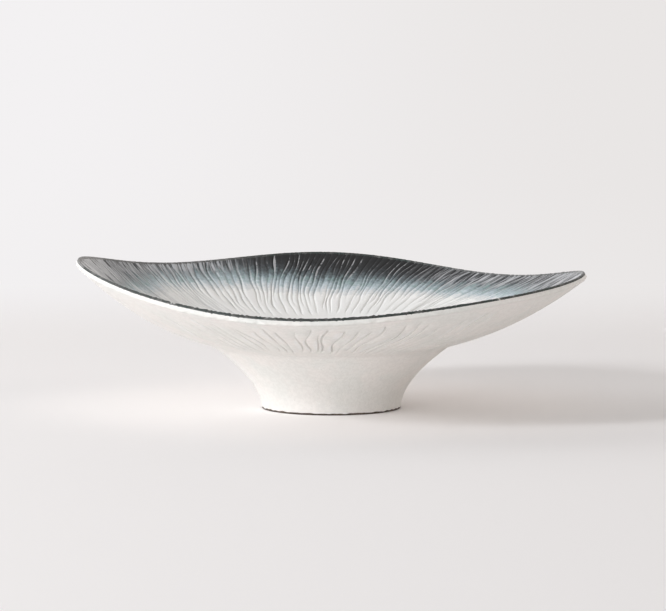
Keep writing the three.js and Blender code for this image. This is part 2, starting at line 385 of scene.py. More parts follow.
# %% One ring of points across the ribs
CREST_SHARE = 0.3  # of the ribs' height, above the plain inside
RIM_SOFTENING = 0.35  # of the ribs' height, lost just before the rim
# On one side of each groove, the side that faces the lamp on the left at the back of the dish, the
# glaze breaks pale, and a painted highlight goes with the break.
BREAK_AND_HIGHLIGHT_SHARES = np.array([0.1, 0, 0.1, 0.45, 1, 0.5])  # where the glaze breaks, by column


def rib_relief(radius):
    """A ring's shares of the way round, its rise, and its groove and shoulder marks."""
    lines, strength = groove_lines(radius)
    share, before, after = columns_between(lines, radius)
    near, far = strength[:, None], np.roll(strength, -1)[:, None]
    groove = groove_depth(before) * near + groove_depth(after) * far
    presence = ease(radius, RIB_START, RIB_START + RIB_FADE)
    presence *= 1 - RIM_SOFTENING * ease(radius, rebate_radius - RIB_FADE / 2, rebate_radius)
    rise = RIB_HEIGHT * presence * (CREST_SHARE - groove).ravel()
    return share, rise, presence * groove.ravel(), presence * (BREAK_AND_HIGHLIGHT_SHARES * far).ravel()


print("columns in a ribbed ring:", len(rib_relief(rebate_radius)[0]))

# %% [markdown]
# ## Skins of rings
#
# Every piece of the bowl goes round the axis, so every mesh here is a pile of rings joined into one
# closed skin. Two rings of the same length are joined with quads. Where the mesh gets coarser, each
# point of the shorter ring takes a fan of triangles. Each point also carries marks that the glaze
# reads later: whether it is inside the dish, how far out it counts for the dark glaze, how deep in a
# groove it lies, whether it is on a groove's shoulder, where the glaze breaks pale and a highlight is
# painted, and how thin the dark glaze was sprayed.

# %% Rings with marks, and the faces between two rings
MARKS = ("inside", "dip", "groove", "shoulder", "thinness")


def ring(points, share, radius, marks=(0, 0, 0, 0, 0)):
    """A ring's points with their marks, radius and share of the way round, which follows the ribs."""
    angle = TURN * share
    return np.hstack([points, stacked(*marks, radius, np.cos(angle), np.sin(angle))])


def join(fine, coarse, fine_first, coarse_first, flip):
    """Faces between a ring and a shorter one whose length divides its own."""
    step = fine // coarse
    edges = np.arange(fine)
    owners = np.floor((edges + 0.5) / step + 0.5).astype(int) % coarse
    faces = stacked(fine_first + edges, coarse_first + owners, fine_first + (edges + 1) % fine)
    if coarse > 1:
        posts = np.arange(coarse)
        meeting = np.ceil(step * (posts + 0.5) - 0.5).astype(int) % fine
        ends = (posts + 1) % coarse
        fans = stacked(coarse_first + posts, coarse_first + ends, fine_first + meeting)
        faces = np.vstack([faces, fans])
    return (faces[:, ::-1] if flip else faces).tolist()


def band(start, next_start, columns):
    """Quads between two rings of the same length."""
    here = np.arange(columns)
    there = (here + 1) % columns
    return stacked(start + here, next_start + here, next_start + there, start + there).tolist()


# %% The skin
GRAIN_RADIUS = 120 * MM  # at which the grain's marks are in true length
SHARP_ANGLE = math.radians(38)


def skin(name, rings):
    """A closed mesh through rings. A ring of one point is a pole, else the last joins the first."""
    starts = np.cumsum([0] + [len(r) for r in rings])
    faces = []
    pairs = [(n, n + 1) for n in range(len(rings) - 1)]
    if len(rings[0]) > 1:
        pairs.append((len(rings) - 1, 0))
    for one, two in pairs:
        a, b = len(rings[one]), len(rings[two])
        if a == b:
            faces += band(starts[one], starts[two], a)
        elif a > b:
            faces += join(a, b, starts[one], starts[two], False)
        else:
            faces += join(b, a, starts[two], starts[one], True)
    rows = np.vstack(rings)
    mesh = bpy.data.meshes.new(name)
    mesh.from_pydata(rows[:, :3].tolist(), [], faces)
    for column, mark in enumerate(MARKS, start=3):
        mesh.attributes.new(mark, "FLOAT", "POINT").data.foreach_set("value", rows[:, column])
    grain = np.column_stack([rows[:, -2:] * GRAIN_RADIUS, rows[:, -3]])
    mesh.attributes.new("grain", "FLOAT_VECTOR", "POINT").data.foreach_set("vector", grain.ravel())
    mesh.shade_smooth()
    mesh.set_sharp_from_angle(angle=SHARP_ANGLE)
    triangles = sum(len(face) - 2 for face in faces)
    print(name, "has", len(rows), "points and", triangles, "triangles")
    return in_scene(name, mesh)


# %% [markdown]
# ## The dish
#
# The dish is one closed skin that starts at the middle of the inside, runs out over the ribs to the
# rebate of the dark edge, turns over the rounded lip, and comes back along the underside to the seat.
# The middle is nearly flat and takes few points. The ribbed part takes twelve columns for each of the
# 120 ribs, six on each side of its fork. A plain fine grid would need far more faces to be as crisp.

# %% Inside of the dish
RIB_RING_STEP = 2.3 * MM
RIB_MARGIN = 2 * MM  # from the first ribbed ring to the ribs' start
# Each plain ring has its radius and its number of points.
PLAIN_RINGS = ((16 * MM, 60), (32 * MM, 120), (46 * MM, 240), (60 * MM, 240), (72 * MM, 480))


def plain_ring(radius, height, columns, turn=0, inside_dish=0):
    """A ring with neither ribs nor strokes, for the middle and the seat."""
    share = np.arange(columns) / columns
    points = placed(radius, height, TURN * share - turn)
    return ring(points, share, radius, (inside_dish, radius, 0, 0, thinness(share)))


def ribbed_ring(radius):
    """A ring of the inside, whose points rise and dip square to the plain wall."""
    share, rise, groove, shoulder = rib_relief(radius)
    points = placed(*inside.raised(radius, rise), rib_heading(share, radius))
    marks = (1, dip(share, radius), groove, shoulder, thinness(share))
    return ring(points, share, radius, marks)


pole = np.zeros(1)
middle = [ring(placed(pole, inside.height(0), pole), pole, 0, (1, 0, 0, 0, 0))]
middle += [plain_ring(r, inside.height(r), n, 0, 1) for r, n in PLAIN_RINGS]
rib_steps = math.ceil((rebate_radius - RIB_START + RIB_MARGIN) / RIB_RING_STEP)
rib_radii = np.linspace(RIB_START - RIB_MARGIN, rebate_radius, rib_steps + 1)
ribbed = [ribbed_ring(r) for r in rib_radii]
print("rings inside:", len(middle) + len(ribbed), "of up to", len(ribbed[-1]), "points")

# %% [markdown]
# The rim's end is square to the wall, with a rounded lower corner that catches the light. The corner
# is a little uneven, as a sponge leaves it, which no bevel would be. The lip's rings keep the columns
# of the last ribbed ring, so that it goes on from the ribs without a twist.

# %% Lip
ROUND_STEPS = 5
LIP_UNEVENNESS = 0.24 * MM
LIP_SLOW_SHARE = 0.6  # of the slower ripples in it
# The lip is greyed a little, a painted shade that tones down the light on its rounded corner.
LIP_PAINTED_SHADE = 0.6  # as a groove's mark, which greys the glaze a little
RIPPLE_GAIN = 1.2

rim_share, rim_rise, _, rim_break_and_highlight = rib_relief(rebate_radius)
rim_heading = rib_heading(rim_share, rebate_radius)


def ripple(share, slowest, fastest, terms=30):
    """Unevenness round the bowl, mostly between -1 and 1, that joins up where it started."""
    waves = dice.integers(slowest, fastest, terms)
    offsets = dice.uniform(0, TURN, terms)
    swings = np.sin(TURN * share[:, None] * waves + offsets)
    return RIPPLE_GAIN * swings.sum(axis=1) / terms**0.5


def rim_ring(section):
    """A ring of the lip at a point of the rim's section."""
    points = placed(*section, rim_heading)
    return ring(points, rim_share, section[0], (0, 0, LIP_PAINTED_SHADE, 0, 0))


round_centre = from_crest(LIP_ROUND, FLAT_LIP)
round_angles = LIP_SLOPE - np.linspace(0, math.pi / 2, ROUND_STEPS + 1)
lip_uneven = LIP_SLOW_SHARE * ripple(rim_share, 12, 60) + ripple(rim_share, 70, 160)
lip_uneven *= LIP_UNEVENNESS
lip_sections = [from_crest(EDGE_WIDTH, EDGE_DEPTH), from_crest(0, EDGE_DEPTH)]
for angle in round_angles:
    corner = LIP_ROUND + lip_uneven * math.sin(2 * (LIP_SLOPE - angle))
    rounded = round_centre[0] + corner * math.cos(angle), round_centre[1] + corner * math.sin(angle)
    lip_sections.append(rounded)
lip = [rim_ring(section) for section in lip_sections]
print("rings of the lip:", len(lip))

# %% [markdown]
# The underside has shorter marks: shallow curved strokes that start below the rim and die out before
# the pedestal. They are cut deepest at the front and the back. They are drawn like the grooves
# inside, each with its own start, end and strength, which a bump texture couldn't give.

# %% Strokes on the underside
STROKE_COUNT = 120
STROKE_DEPTH = 1.1 * MM
STROKE_INNER = 84 * MM
STROKE_OUTER = 164 * MM
STROKE_FADE = 8 * MM
STROKE_SWEEP = math.radians(4)
STROKE_REACH = 0.65 * MM
STROKE_WOBBLE = 0.12  # of the way from one stroke to the next
STROKE_STEADY = 0.85  # share of a stroke's strength that stays
STROKE_PULSE = 0.4  # and that comes and goes
STROKE_WAVE = 9 * MM  # length of both
STROKES_DEEPEST = math.radians(285)  # heading, as is the one opposite
STROKE_SPREADS = (0.16, 0.2)  # of their homes and leans, in strokes' widths
STROKE_END_SPREADS = (6, 16)  # of their inner and outer ends, in mm
STROKE_STRENGTHS = (0.6, 1.1)
EVEN_STRENGTH = 0.8  # the part that is the same all round the bowl
SWAYING_STRENGTH = 0.4

home_spread, lean_spread = (dice.normal(0, spread, STROKE_COUNT) for spread in STROKE_SPREADS)
stroke_home = (np.arange(STROKE_COUNT) + home_spread) / STROKE_COUNT
stroke_lean = lean_spread / STROKE_COUNT
inner_gap, outer_gap = (
    np.abs(dice.normal(0, spread, STROKE_COUNT)) * MM for spread in STROKE_END_SPREADS
)
stroke_inner = STROKE_INNER + inner_gap
stroke_outer = STROKE_OUTER - outer_gap
stroke_strength = dice.uniform(*STROKE_STRENGTHS, STROKE_COUNT)
sway = np.cos(4 * math.pi * stroke_home - 2 * STROKES_DEEPEST)
stroke_strength *= EVEN_STRENGTH + SWAYING_STRENGTH * sway
stroke_turn = dice.uniform(0, TURN, STROKE_COUNT)
print("the longest stroke runs", round((stroke_outer - stroke_inner).max() / MM), "mm outwards")

# %% Rings of the underside
SWING = 0.002  # of the way round, to either side
SWINGS = 6  # round the bowl
SWING_LENGTH = 12 * MM
SWING_FADE = 15 * MM
# The strokes' marks give their grooves painted shade and their shoulders a painted highlight, as the
# ribs' do.
STROKE_MARK = 1.5  # a stroke's weight in the glaze, beside a groove's


def strokes_at(radius):
    """The strokes' shares of the way round and strengths at a radius, and their sweep there."""
    out = np.clip((radius - STROKE_INNER) / (STROKE_OUTER - STROKE_INNER), 0, 1)
    wobble = STROKE_WOBBLE / STROKE_COUNT * np.sin(radius / STROKE_WAVE + stroke_turn)
    pulse = STROKE_STEADY + STROKE_PULSE * np.sin(radius / STROKE_WAVE + 2 * stroke_turn)
    strength = stroke_strength * ease(radius, stroke_inner, stroke_inner + STROKE_FADE) * pulse
    strength = strength * (1 - ease(radius, stroke_outer - STROKE_FADE, stroke_outer))
    return stroke_home + stroke_lean * out + wobble, strength, STROKE_SWEEP * (1 - out) ** 2


def stroked_ring(radius):
    """A ring of the underside, with the strokes cut up into the clay."""
    homes, strength, sweep = strokes_at(radius)
    share, before, after = columns_between(homes, radius)
    near, far = strength[:, None], np.roll(strength, -1)[:, None]
    groove = np.exp(-((before / STROKE_REACH) ** 2)) * near
    groove = (groove + np.exp(-((after / STROKE_REACH) ** 2)) * far).ravel()
    shoulder = (BREAK_AND_HIGHLIGHT_SHARES * far).ravel()
    swing = np.sin(TURN * SWINGS * share + radius / SWING_LENGTH)
    swing = TURN * SWING * swing * ease(radius, STROKE_INNER, STROKE_INNER + SWING_FADE)
    heading = TURN * share - (RIB_SWEEP + sweep + swing)
    points = placed(*underside.raised(radius, STROKE_DEPTH * groove), heading)
    return ring(points, share, radius, (0, 0, STROKE_MARK * groove, STROKE_MARK * shoulder, 0))


# %% [markdown]
# The glaze fills the crease above the pedestal, so the skin cuts across it. Within it come the flat
# seat, which meets the bed of slip, and a shallow boss, as on the solid that this replaces.

# %% Underside and seat
UNDERSIDE_STEP = 2.6 * MM
CREASE_SOFTNESS = 2.6 * MM
BOSS_CLEARANCE = 3 * MM
BOSS_DEPTH = 2 * MM
SEAT_COLUMNS = 240

softened_radius = CREASE_RADIUS + CREASE_SOFTNESS
underside_steps = math.ceil((lip_foot[0] - softened_radius) / UNDERSIDE_STEP)
underside_radii = np.linspace(lip_foot[0], softened_radius, underside_steps + 1)[1:]
stroked = [stroked_ring(r) for r in underside_radii]

seat_height = CREASE_HEIGHT - SEAT_DROP
seat_radius = flare.radius(seat_height)
pedestal_top = seat_height - SLIP_THICKNESS
pedestal_top_radius = flare.radius(pedestal_top)
mouth_radius = pedestal_top_radius - FLARE_WALL
boss_radius = mouth_radius - BOSS_CLEARANCE
boss_edge = seat_height - BOSS_DEPTH
bottom_height = DISH_FLOOR_HEIGHT - DISH_FLOOR_THICKNESS
seat_turn = RIB_SWEEP + STROKE_SWEEP
seat_sections = (
    (seat_radius, seat_height),
    (boss_radius, seat_height),
    (boss_radius, boss_edge),
    (0.75 * boss_radius, (2 * bottom_height + boss_edge) / 3),
    (0.5 * boss_radius, (5 * bottom_height + boss_edge) / 6),
)
seat = [plain_ring(r, h, SEAT_COLUMNS, seat_turn) for r, h in seat_sections]
seat.append(ring(placed(pole, bottom_height, pole), pole, 0))

ribbed_dish = skin("ribbed_dish", middle + ribbed + lip + stroked + seat)
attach(ribbed_dish, BODY)
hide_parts("dish")

# %% [markdown]
# ## The dark edge
#
# Along the crest the dark glaze has run together into a thin line, a little rough, and its lower side
# wanders. It hangs lowest at the front left and nearly runs out at the left tip. It is a narrow ring
# in the dish's rebate. A bevel couldn't give it a wandering width, so it is a skin of its own, whose
# lower side follows seeded ripples.

# %% Drop and bulge of the edge
EDGE_CROWN = 0.45 * MM
EDGE_PROUD = 0.12 * MM
EDGE_HEAVY = math.radians(225)  # heading at which the line hangs lowest
EDGE_LIGHT = math.radians(190)  # heading at which it nearly runs out
DROP_MEAN = 0.84  # of the rebate's depth, as are the next three
DROP_SWAY = 0.16
DROP_WANDER = 0.08
DROP_TEETH = 0.13
DROP_LOSS = 0.5  # of the drop, where it nearly runs out
BULGE_SPREAD = 0.3

edge_drop = DROP_MEAN + DROP_SWAY * np.cos(rim_heading - EDGE_HEAVY)
edge_drop += DROP_WANDER * ripple(rim_share, 3, 30) + DROP_TEETH * ripple(rim_share, 150, 360)
edge_drop *= EDGE_DEPTH * (1 - DROP_LOSS * ease(np.cos(rim_heading - EDGE_LIGHT), 0.9, 1))
edge_bulge = 1 + BULGE_SPREAD * ripple(rim_share, 60, 420)
print("the dark edge hangs down by up to", (edge_drop.max() / MM).round(2), "mm")


def edge_ring(inwards, down, rise=0, inner=0):
    """A ring of the dark edge. How far it lies in or down from the crest may vary round it."""
    radius = CREST[0] - inwards * ALONG_WALL[0] + (down - rise) * THROUGH_WALL[0]
    height = CREST[1] - inwards * ALONG_WALL[1] + (down - rise) * THROUGH_WALL[1]
    marks = (inner, 0, 0, rim_break_and_highlight, thinness(rim_share))
    return ring(placed(radius, height, rim_heading), rim_share, radius, marks)


# %% Dark edge
edge_rings = [
    edge_ring(EDGE_WIDTH, 0, rim_rise, 1),
    edge_ring(0.72 * EDGE_WIDTH, -0.6 * EDGE_CROWN * edge_bulge, 0.6 * rim_rise, 1),
    edge_ring(0.4 * EDGE_WIDTH, -EDGE_CROWN * edge_bulge, 0.35 * rim_rise, 1),
    edge_ring(0.12 * EDGE_WIDTH, -0.5 * EDGE_CROWN * edge_bulge, 0.2 * rim_rise),
    edge_ring(-0.7 * EDGE_PROUD * edge_bulge, 0.12 * edge_drop),
    edge_ring(-EDGE_PROUD * edge_bulge, 0.5 * edge_drop),
    edge_ring(-0.7 * EDGE_PROUD * edge_bulge, 0.9 * edge_drop),
    edge_ring(0.1 * EDGE_PROUD, edge_drop),
    edge_ring(0.2 * EDGE_WIDTH, EDGE_DEPTH),
    edge_ring(EDGE_WIDTH, EDGE_DEPTH),
]
dark_rim = skin("dark_rim", edge_rings)
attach(dark_rim, BODY)
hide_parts("rim_edge")

# %% [markdown]
# ## The pedestal, the slip and the foot ring
#
# The pedestal is thrown upside down as a flaring collar, so it is hollow below. Liquid clay, called
# slip, lutes it to the dish, and the joint vanishes under the glaze. The glaze is wiped off the very
# foot so that the bowl doesn't stick to the kiln shelf, which leaves a ring of bare dark clay under a
# slightly uneven line of glaze. A Screw modifier would turn them all, but with an even line.

# %% Turned pieces
TURN_COLUMNS = 288
GLAZE_LINE_WANDER = 0.16 * MM
GLAZE_EDGE = 0.14 * MM  # how far the glaze stands out over the bare clay

turn_share = np.arange(TURN_COLUMNS) / TURN_COLUMNS
turn_heading = TURN * turn_share


def turned_ring(radius, height):
    """A ring about the axis. Its radius and height may vary round it."""
    points = stacked(radius * np.cos(turn_heading), radius * np.sin(turn_heading), height)
    return ring(points, turn_share, radius)


glaze_line = FOOT_RING_HEIGHT + GLAZE_LINE_WANDER * ripple(turn_share, 3, 60)
foot_inner = FOOT_RADIUS - FOOT_WALL
print("the glaze ends at most", (glaze_line.max() / MM).round(2), "mm above the table")

# %% Pedestal
PEDESTAL_STEPS = 26
HOLLOW_STEPS = 14
OUTER_MARGIN = 0.8 * MM  # from the foot ring to the first plain ring outside
HOLLOW_MARGIN = 1 * MM  # and to the last one inside

outer_heights = np.linspace(FOOT_RING_HEIGHT + OUTER_MARGIN, pedestal_top, PEDESTAL_STEPS)
hollow = Curve(
    (foot_inner, FOOT_RING_HEIGHT),
    (FLARE_BEND_RADIUS - FOOT_WALL, FLARE_BEND_HEIGHT),
    (mouth_radius, pedestal_top),
)
hollow_heights = np.linspace(pedestal_top, FOOT_RING_HEIGHT + HOLLOW_MARGIN, HOLLOW_STEPS)
pedestal_rings = [
    turned_ring(flare.radius(glaze_line) - GLAZE_EDGE, glaze_line),
    turned_ring(flare.radius(glaze_line), glaze_line + GLAZE_EDGE),
    *(turned_ring(flare.radius(h), h) for h in outer_heights),
    *(turned_ring(hollow.radius(h), h) for h in hollow_heights),
    turned_ring(foot_inner, glaze_line),
]
flared_pedestal = skin("flared_pedestal", pedestal_rings)
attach(flared_pedestal, BODY)
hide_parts("pedestal")

# %% Slip and foot ring
SLIP_BEAD = 1.2 * MM
FIT_GAP = 0.3 * MM
FOOT_BEVEL = 0.4 * MM

bead_inner = boss_radius + FIT_GAP
bead_outer = mouth_radius - FIT_GAP
slip_rings = [
    turned_ring(bead_inner, pedestal_top - 0.7 * SLIP_BEAD),
    turned_ring(0.7 * bead_inner + 0.3 * bead_outer, pedestal_top - SLIP_BEAD),
    turned_ring(0.3 * bead_inner + 0.7 * bead_outer, pedestal_top - 0.8 * SLIP_BEAD),
    turned_ring(bead_outer, pedestal_top),
    turned_ring(pedestal_top_radius, pedestal_top),
    turned_ring(seat_radius, seat_height),
    turned_ring(bead_inner, seat_height),
]
slip_bed = skin("slip_bed", slip_rings)
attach(slip_bed, BODY)
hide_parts("slip_joint")

clay_radius = FOOT_RADIUS - GLAZE_EDGE
foot_rings = [
    turned_ring(foot_inner + FOOT_BEVEL, 0),
    turned_ring(clay_radius - FOOT_BEVEL, 0),
    turned_ring(clay_radius - 0.3 * FOOT_BEVEL, 0.3 * FOOT_BEVEL),
    turned_ring(clay_radius, FOOT_BEVEL),
    turned_ring(flare.radius(glaze_line) - GLAZE_EDGE, glaze_line),
    turned_ring(foot_inner, glaze_line),
    turned_ring(foot_inner, FOOT_BEVEL),
]
clay_foot = skin("clay_foot", foot_rings)
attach(clay_foot, BODY)
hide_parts("foot_ring")

# %% [markdown]
# ## Writing shaders as sums
#
# A glaze is a matter of layers: where it pools, where it breaks over an edge, where two glazes run
# into each other. In nodes that is arithmetic on masks, which is slow to wire up one by one. So one
# small class wraps a socket: a sum written in Python adds the Math nodes. One method adds any other.

# %% Sockets
class Socket:
    """A node's output. Python's operators on it add Math nodes."""

    def __init__(self, finish, output):
        self.finish = finish
        self.output = output

    def maths(self, operation, *values):
        settings = {"operation": operation}
        return self.finish.node("ShaderNodeMath", settings, dict(enumerate(values)))

    def __add__(self, other):
        return self.maths("ADD", self, other)

    def __sub__(self, other):
        return self.maths("SUBTRACT", self, other)

    def __rsub__(self, other):
        return self.maths("SUBTRACT", other, self)

    def __mul__(self, other):
        return self.maths("MULTIPLY", self, other)

    def __truediv__(self, other):
        return self.maths("DIVIDE", self, other)

    def __rtruediv__(self, other):
        return self.maths("DIVIDE", other, self)

    __radd__ = __add__
    __rmul__ = __mul__


# %% Finishes, whose one method adds every node
class Finish:
    """A material that is being built."""

    def __init__(self, name):
        self.material = bpy.data.materials.new(name)
        self.material.use_nodes = True
        self.tree = self.material.node_tree
        self.tree.nodes.clear()

    def node(self, kind, settings, sockets, output=0):
        """Adds a node. Its settings are set first, then its sockets' values or links."""
        added = self.tree.nodes.new(kind)
        for name, value in settings.items():
            if name == "stops":
                set_stops(added.color_ramp, value)
            else:
                setattr(added, name, value)
        for key, value in sockets.items():
            if isinstance(value, Socket):
                self.tree.links.new(value.output, added.inputs[key])
            else:
                added.inputs[key].default_value = value
        return Socket(self, added.outputs[output] if added.outputs else None)


# %% Colours and ramps
def written(red, green, blue):
    """A colour as a picture file writes it, from 0 to 255, in Blender's linear numbers."""
    shares = np.array([red, green, blue]) / 255
    linear = np.where(shares > 0.04045, ((shares + 0.055) / 1.055) ** 2.4, shares / 12.92)
    return (*linear, 1)


def set_stops(ramp, stops):
    """Gives a colour ramp its stops, each a position and a colour."""
    while len(ramp.elements) < len(stops):
        ramp.elements.new(1)
    for element, (position, colour) in zip(ramp.elements, stops):
        element.position = position
        element.color = colour


# %% Helpers that name the nodes by what they do
def places_on(finish):
    """Each point's place, in metres."""
    return finish.node("ShaderNodeTexCoord", {}, {}, "Object")


def along(place, axis):
    """One of a place's three numbers."""
    return place.finish.node("ShaderNodeSeparateXYZ", {}, {"Vector": place}, axis)


def mark(finish, name, output="Fac"):
    """What the mesh's points carry under a name."""
    return finish.node("ShaderNodeAttribute", {"attribute_name": name}, {}, output)


def noise(place, size, detail=2, roughness=0.5):
    """Noise whose lumps are about a size, in metres. It runs from 0 to 1 about 0.5."""
    sockets = {"Vector": place, "Scale": 1 / size, "Detail": detail, "Roughness": roughness}
    return place.finish.node("ShaderNodeTexNoise", {}, sockets)


def mask(value, low, high):
    """0 below a span, 1 above it, and a smooth rise between."""
    settings = {"interpolation_type": "SMOOTHSTEP"}
    return value.finish.node("ShaderNodeMapRange", settings, {"Value": value, 1: low, 2: high})


def blend(share, colour, other):
    """The first colour where the share is 0 and the other where it is 1."""
    sockets = {0: share, 6: colour, 7: other}
    return share.finish.node("ShaderNodeMix", {"data_type": "RGBA"}, sockets, output=2)


def bump(height, distance):
    """A normal that tilts as a relief of some depth, in metres, would."""
    return height.finish.node("ShaderNodeBump", {}, {"Height": height, "Distance": distance})


def surface(finish, colour, roughness, normal):
    """Ends a finish with a plain glossy or dull surface."""
    sockets = {"Base Color": colour, "Roughness": roughness, "Normal": normal}
    shader = finish.node("ShaderNodeBsdfPrincipled", {}, sockets)
    finish.node("ShaderNodeOutputMaterial", {}, {"Surface": shader})
    return finish.material


# %% [markdown]
# ## The glaze
#
# One glazing covers the dish and the pedestal. It is an off-white satin, faintly pebbled like
# eggshell and darker low on the pedestal. Inside the dish it is made lighter with painted light, and
# in the grooves it pools greyer, with painted shade. Inside, a dark glaze was sprayed from the rim,
# and thins on its way in from charcoal through grey blue to nothing. It pools in the grooves and
# breaks paler over the ribs, with a painted highlight on one side of each groove. Towards the two
# tips it lies thin, in pale bands along the ribs.
#
# A ramp over the radius gives the colours, and noise stretched along the ribs draws its edge out into
# fingers and streaks. A painted picture would need the dish unwrapped, and would blur close up.

# %% Textures of the glaze
STREAK_SIZE = 1 * MM
FINGER_SIZE = 3 * MM
SWATHE_SIZE = 7 * MM
STREAK_STRETCH = (1, 1, 0.06)  # the last number is for the way along the ribs
SWATHE_STRETCH = (1, 1, 0.3)
DRIFT_SIZE = 45 * MM
CLOUD_SIZE = 22 * MM
MOTTLE_SIZE = 5 * MM
FLECK_SIZE = 2.2 * MM
PEBBLE_SIZE = 1.3 * MM

glaze = Finish("satin_glaze")
place = places_on(glaze)
in_dish = mark(glaze, "inside")
groove_mark = mark(glaze, "groove")
break_and_highlight_mark = mark(glaze, "shoulder")
thin = mark(glaze, "thinness")


def along_ribs(stretch):
    """Places in the glaze, drawn out along the ribs."""
    sockets = {0: mark(glaze, "grain", "Vector"), 1: stretch}
    return glaze.node("ShaderNodeVectorMath", {"operation": "MULTIPLY"}, sockets)


stretched = along_ribs(STREAK_STRETCH)
streaks = noise(stretched, STREAK_SIZE, detail=4, roughness=0.6)
fingers = noise(stretched, FINGER_SIZE, detail=3, roughness=0.6)
swathes = noise(along_ribs(SWATHE_STRETCH), SWATHE_SIZE)
drift = noise(place, DRIFT_SIZE, detail=1)
cloud = noise(place, CLOUD_SIZE)
mottle = noise(place, MOTTLE_SIZE, detail=3)
flecks = noise(place, FLECK_SIZE)
pebbles = noise(place, PEBBLE_SIZE, detail=3, roughness=0.6)

# %% How far out each point counts, and the dark glaze's colours
DARK_ENDS = 121 * MM  # radius inside which the dark glaze has gone
DARK_FULL = 160 * MM
STREAK_REACH = 8 * MM
DRIFT_REACH = 10 * MM
POOL_REACH = 1.5 * MM
SHOULDER_REACH = 1 * MM
FLECK_REACH = 12 * MM
FINGER_REACH = 12 * MM
GROOVE_MEAN = 0.2
TEAL = written(142, 168, 164)
# Each stop has its radius in mm and its colour.
GLAZE_STOPS = (
    (121, (240, 239, 236)),
    (127, (223, 225, 226)),
    (132, (195, 206, 211)),
    (138, (152, 167, 172)),
    (143, (106, 117, 121)),
    (148, (70, 75, 78)),
    (154, (45, 46, 48)),
    (160, (37, 37, 38)),
)

reach = mark(glaze, "dip") + (streaks - 0.5) * STREAK_REACH + (drift - 0.5) * DRIFT_REACH
reach = reach + (groove_mark - GROOVE_MEAN) * POOL_REACH - break_and_highlight_mark * SHOULDER_REACH
reach = reach + (flecks - 0.5) * FLECK_REACH + (fingers - 0.5) * FINGER_REACH
dipped = (reach - DARK_ENDS) / (DARK_FULL - DARK_ENDS)
stops = [
    ((radius * MM - DARK_ENDS) / (DARK_FULL - DARK_ENDS), written(*colour))
    for radius, colour in GLAZE_STOPS
]
dip_colour = glaze.node("ShaderNodeValToRGB", {"stops": stops}, {"Fac": dipped})
halfway = mask(dipped, 0.1, 0.35) * (1 - mask(dipped, 0.45, 0.75))
teal = halfway * mask(mottle, 0.5, 0.62)
dip_colour = blend(teal * 0.5, dip_colour, TEAL)

# %% [markdown]
# The bands come where streaks, fingers and wide swathes together pass a level, and more of them do
# where the glaze is thinner. On the ribs' shoulders it breaks pale all round, and a painted highlight
# goes with the break on the side of each groove that faces the lamp on the left at the back.

# %% Thin and broken dark glaze, with painted highlights
THIN_GREY = written(190, 191, 194)
TIP_GREY = written(228, 228, 228)
BROKEN_AND_HIGHLIGHT_GREY = written(190, 189, 190)
FINGER_WEIGHT = 1.8
STREAK_WEIGHT = 2.8
SWATHE_WEIGHT = 9
SWATHE_MEAN = 0.47

charcoal = mask(dipped, 0.3, 0.75) * in_dish
# The shoulder term paints a highlight into the bands, on one side of each groove.
sheen = (fingers - 0.5) * FINGER_WEIGHT + (streaks - 0.5) * STREAK_WEIGHT
sheen = sheen * (0.7 + 0.5 * thin) + break_and_highlight_mark * 0.35 + (thin - 1) * 0.35
sheen = sheen + (swathes - SWATHE_MEAN) * mask(thin, 1, 1.6) * SWATHE_WEIGHT
bands = mask(sheen, -0.2, 0.4)
thinned = charcoal * mask(thin, 0, 1) * (0.06 + bands * 0.9)
dip_colour = blend(thinned, dip_colour, THIN_GREY)
palest = charcoal * bands * mask(thin, 1.1, 2)
dip_colour = blend(palest * 0.5, dip_colour, TIP_GREY)
# Pale lines on the shoulders: glaze that breaks thin, with a painted highlight on the side that faces
# the lamp on the left.
broken_and_highlit = mask(break_and_highlight_mark, 0.65, 0.95) * mask(mottle + thin * 0.06, 0.4, 0.53)
broken_and_highlit = broken_and_highlit * mask(dipped, 0.3, 0.6)
dip_colour = blend(broken_and_highlit * (0.75 - 0.15 * thin), dip_colour, BROKEN_AND_HIGHLIGHT_GREY)

# %% White glaze
WARM_WHITE = written(246, 242, 238)
COOL_WHITE = written(240, 239, 235)
INSIDE_PAINTED_LIGHT = written(250, 249, 247)
LOW_GREY = written(206, 202, 197)  # low on the pedestal
SPECK = written(150, 136, 122)
PAINTED_GLINT = written(255, 254, 252)
SPECK_GAP = 5 * MM
PAINTED_GLINT_GAP = 6.3 * MM


def specks(gap, inner, outer):
    """Round specks a gap apart, that fade from an inner to an outer share of the gap."""
    sockets = {"Vector": place, "Scale": 1 / gap}
    cells = glaze.node("ShaderNodeTexVoronoi", {"feature": "F1"}, sockets)
    return 1 - mask(cells, inner, outer)


white = blend(mask(cloud, 0.35, 0.65), WARM_WHITE, COOL_WHITE)
white = blend(specks(SPECK_GAP, 0.03, 0.07) * 0.35, white, SPECK)
# White specks that stand in for tiny glints: painted glints.
white = blend(specks(PAINTED_GLINT_GAP, 0.04, 0.09), white, PAINTED_GLINT)
# The white gets darker towards the bottom of the pedestal.
low_down = 1 - mask(along(place, "Z"), 6 * MM, 36 * MM)
white = blend(low_down * 0.36, white, LOW_GREY)
# Inside the dish the same white is made lighter: painted light.
white = blend(in_dish * 0.7, white, INSIDE_PAINTED_LIGHT)

# %% Both glazes, with gloss and grain
POOLED_AND_SHADED = written(168, 166, 162)  # where the white glaze lies thick in a groove
PAINTED_HIGHLIGHT_WHITE = written(248, 247, 245)  # on a groove's shoulder
DAPPLE = written(180, 177, 171)
DAPPLE_SIZE = 2.4 * MM
PEBBLE_DEPTH = 0.18 * MM

colour = blend(in_dish * mask(dipped, 0, 0.04), white, dip_colour)
